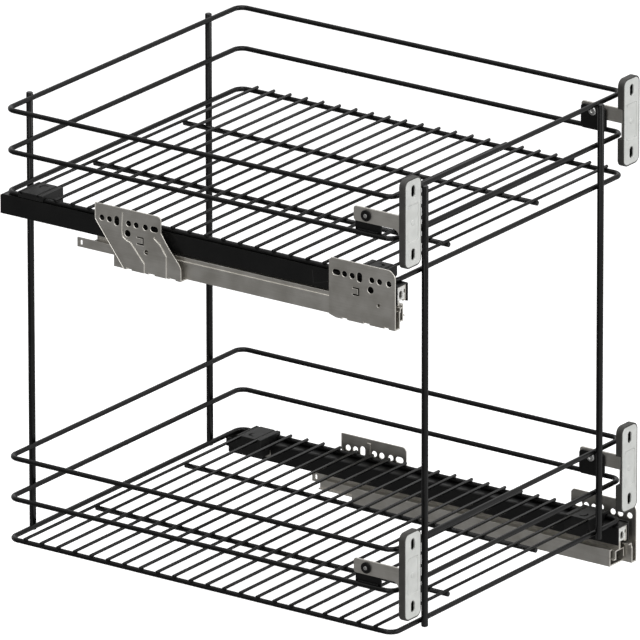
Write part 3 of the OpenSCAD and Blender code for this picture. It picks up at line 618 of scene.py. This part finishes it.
nylon = material("moulded_nylon", moulded_nylon)
bright_steel = material("bright_steel", turned_steel)
for side in ("left", "right"):
    bumper = rounded(f"{side}_rail_bumper", f"{side}_bumper_moulding", bumper_edge, nylon)
    stands_for(bumper, "basket", "white_plastic", f"{side}_rail_bumper")
    for level in ("upper", "lower"):
        body = f"{side}_{level}_roller_cage"
        cage = rounded(f"{side}_{level}_cage", f"{side}_{level}_cage_moulding", cage_edge, nylon)
        stands_for(cage, body, "white_plastic", f"{side}_{level}_cage")
        rollers = rounded(f"{side}_{level}_rollers", f"{side}_{level}_roller_row", roller_edge,
                          bright_steel)
        stands_for(rollers, body, "bright_steel", f"{side}_{level}_rollers")


# ---- Side brackets ----
# Stamped from 1.3 mm zinc-plated sheet and screwed to the cabinet's side walls. The punch
# rounds the rims of the holes. The rear ones have two pressed beads, and a soft roll is
# pressed along their rear edge.

punched_rim = 0.00042
punched_segments = 3
hole_heights = (0.0017, -0.0086, -0.0140, -0.0236)
front_hole_rows = 2
rear_edge = 0.115
rear_edge_bend = -0.001
rear_edge_lean = (0.7971, 0.6038)
roll_inset = 0.0013
roll_reach = 0.0010
roll_depth = 0.0005


def within_tier(place, middle):
    """Height above this middle in the lower basket, and the same again in the upper one."""
    step = tier_heights["upper"]
    upward = place.node("ShaderNodeSeparateXYZ", {}, {"Vector": place}, "Z")
    return (upward - middle + step / 2) % step - step / 2


def rolled_edge(place):
    """The roll along the rear bracket's upright and leaning rear edge, 0 on its line."""
    middle = placed(0, 0, 0)
    along = place.node("ShaderNodeSeparateXYZ", {}, {"Vector": place}, "Y")
    height = within_tier(place, middle[2])
    upright = rear_edge + middle[1] - along
    leaning = upright * rear_edge_lean[0] + (height - rear_edge_bend) * rear_edge_lean[1]
    inside = place.maths("MINIMUM", upright, leaning)
    return eased(abs(inside - roll_inset), 0.0, roll_reach)


def rolled_zinc_plating(place):
    plating = zinc_plating(place)
    plating["Normal"] = bump(rolled_edge(place), strength=1.0, depth=roll_depth,
                             under=plating["Normal"])
    return plating


rolled_zinc = material("zinc_plated_steel_with_rolled_edge", rolled_zinc_plating)
bracket_kinds = {"front": (zinc, hole_heights[:front_hole_rows]), "rear": (rolled_zinc, hole_heights)}
for side, tier in (("left", "upper"), ("right", "lower")):
    for end, (plating, rows) in bracket_kinds.items():
        cuts = [("z", placed(0, 0, tier_heights[tier] + row)[2]) for row in rows]
        bracket = rounded(f"{side}_{end}_side_bracket", f"{side}_{end}_bracket_stamping",
                          punched_rim, plating, punched_segments, cuts)
        stands_for(bracket, "cabinet_side", "zinc_steel", f"{side}_{end}_side_bracket")


# ---- Tabs, screws and washers for the door brackets ----
# A black sheet tab is welded to the middle wire at each front corner. A pan-head screw
# through it clamps the door bracket's arm under a dished black washer.

screw_edge = 0.0003
washer_edge = 0.00025

for tier in ("upper", "lower"):
    for side in ("left", "right"):
        tab = rounded(f"{tier}_{side}_tab", f"{tier}_{side}_tab_sheet", sheet_edge, black_sheet)
        stands_for(tab, "basket", "black_sheet", f"{tier}_{side}_tab")
screws = rounded("tab_screws", "tab_screw_set", screw_edge, bright_steel)
stands_for(screws, "basket", "bright_steel", "tab_screws")
washers = rounded("tab_washers", "tab_washer_set", washer_edge, black_coat)
stands_for(washers, "basket", "black_washer", "tab_washers")


# ---- Door brackets ----
# Each is a pressed arm, a moulded tray and a plate with two slots that the door is
# screwed to. The plate is satin light-grey steel, and the tray is dark grey plastic. The
# press leaves soft slopes round the plate's sunk panel, its boss, its slots and its rim.

arm_edge = 0.0004
tray_edge = 0.0004
plate_edge = 0.00018
round_segments = 3
plate_place = 0.1852
plate_middle = 0.10655
plate_half = (0.0124, 0.0435)
panel_half = (0.0085, 0.0185)
slot_place = 0.032
slot_straight = 0.0028
slot_half = 0.0031
boss_radius = 0.0026
rim_share = 0.6
press_depth = 0.0005
soft_edge = 0.0009


def beyond_edge(distance):
    """0 well inside this edge and 1 well outside it, with a soft slope between."""
    return eased(distance, -soft_edge, soft_edge)


def round_distance(first, second):
    return (first * first + second * second) ** 0.5


def pressed_plate(place):
    """Height of the pressed slopes, in press depths, on all four plates."""
    across = place.node("ShaderNodeSeparateXYZ", {}, {"Vector": place}, "X")
    beside = abs(abs(across) - plate_place)
    above = abs(within_tier(place, plate_middle))
    panel = place.maths("MAXIMUM", beside - panel_half[0], above - panel_half[1])
    rim = place.maths("MAXIMUM", beside - plate_half[0], above - plate_half[1])
    past_straight = place.maths("MAXIMUM", abs(above - slot_place) - slot_straight, 0.0)
    slot = round_distance(beside, past_straight) - slot_half
    boss = round_distance(beside, above) - boss_radius
    return (beyond_edge(panel) + (1 - beyond_edge(boss)) + beyond_edge(slot)
            - beyond_edge(rim) * rim_share)


def satin_plate(place):
    cloud = noise(place, scale=90, detail=3)
    grain = noise(place, scale=1400, detail=2)
    relief = pressed_plate(place) + cloud * 0.017 + grain * 0.007
    return {
        "Base Color": tones(cloud, (0.3, (0.52, 0.53, 0.51)), (0.7, (0.60, 0.61, 0.59))),
        "Metallic": 0.3, "Roughness": 0.34 + cloud * 0.14,
        "Normal": bump(relief, strength=1.0, depth=press_depth)}


def dark_plastic(place):
    grain = noise(place, scale=2000, detail=2)
    cloud = noise(place, scale=80, detail=2)
    return {
        "Base Color": tones(cloud, (0.3, (0.027, 0.026, 0.0235)), (0.7, (0.034, 0.033, 0.030))),
        "Roughness": 0.46 + cloud * 0.12, "Specular IOR Level": 0.4,
        "Normal": bump(grain, strength=0.4, depth=0.00006)}


plate_steel = material("satin_plate_steel", satin_plate)
grey_plastic = material("dark_grey_plastic", dark_plastic)
for tier in ("upper", "lower"):
    for side in ("left", "right"):
        corner = f"{tier}_{side}"
        body = f"{corner}_door_bracket"
        arm = rounded(f"{corner}_door_arm", f"{corner}_arm_stamping", arm_edge, zinc, round_segments)
        stands_for(arm, body, "zinc_steel", f"{corner}_door_arm")
        tray = rounded(f"{corner}_door_tray", f"{corner}_tray_moulding", tray_edge, grey_plastic,
                       round_segments)
        stands_for(tray, body, "dark_grey_plastic", f"{corner}_door_tray")
        plate = rounded(f"{corner}_door_plate", f"{corner}_plate_pressing", plate_edge, plate_steel)
        stands_for(plate, body, "plate_steel", f"{corner}_door_plate")
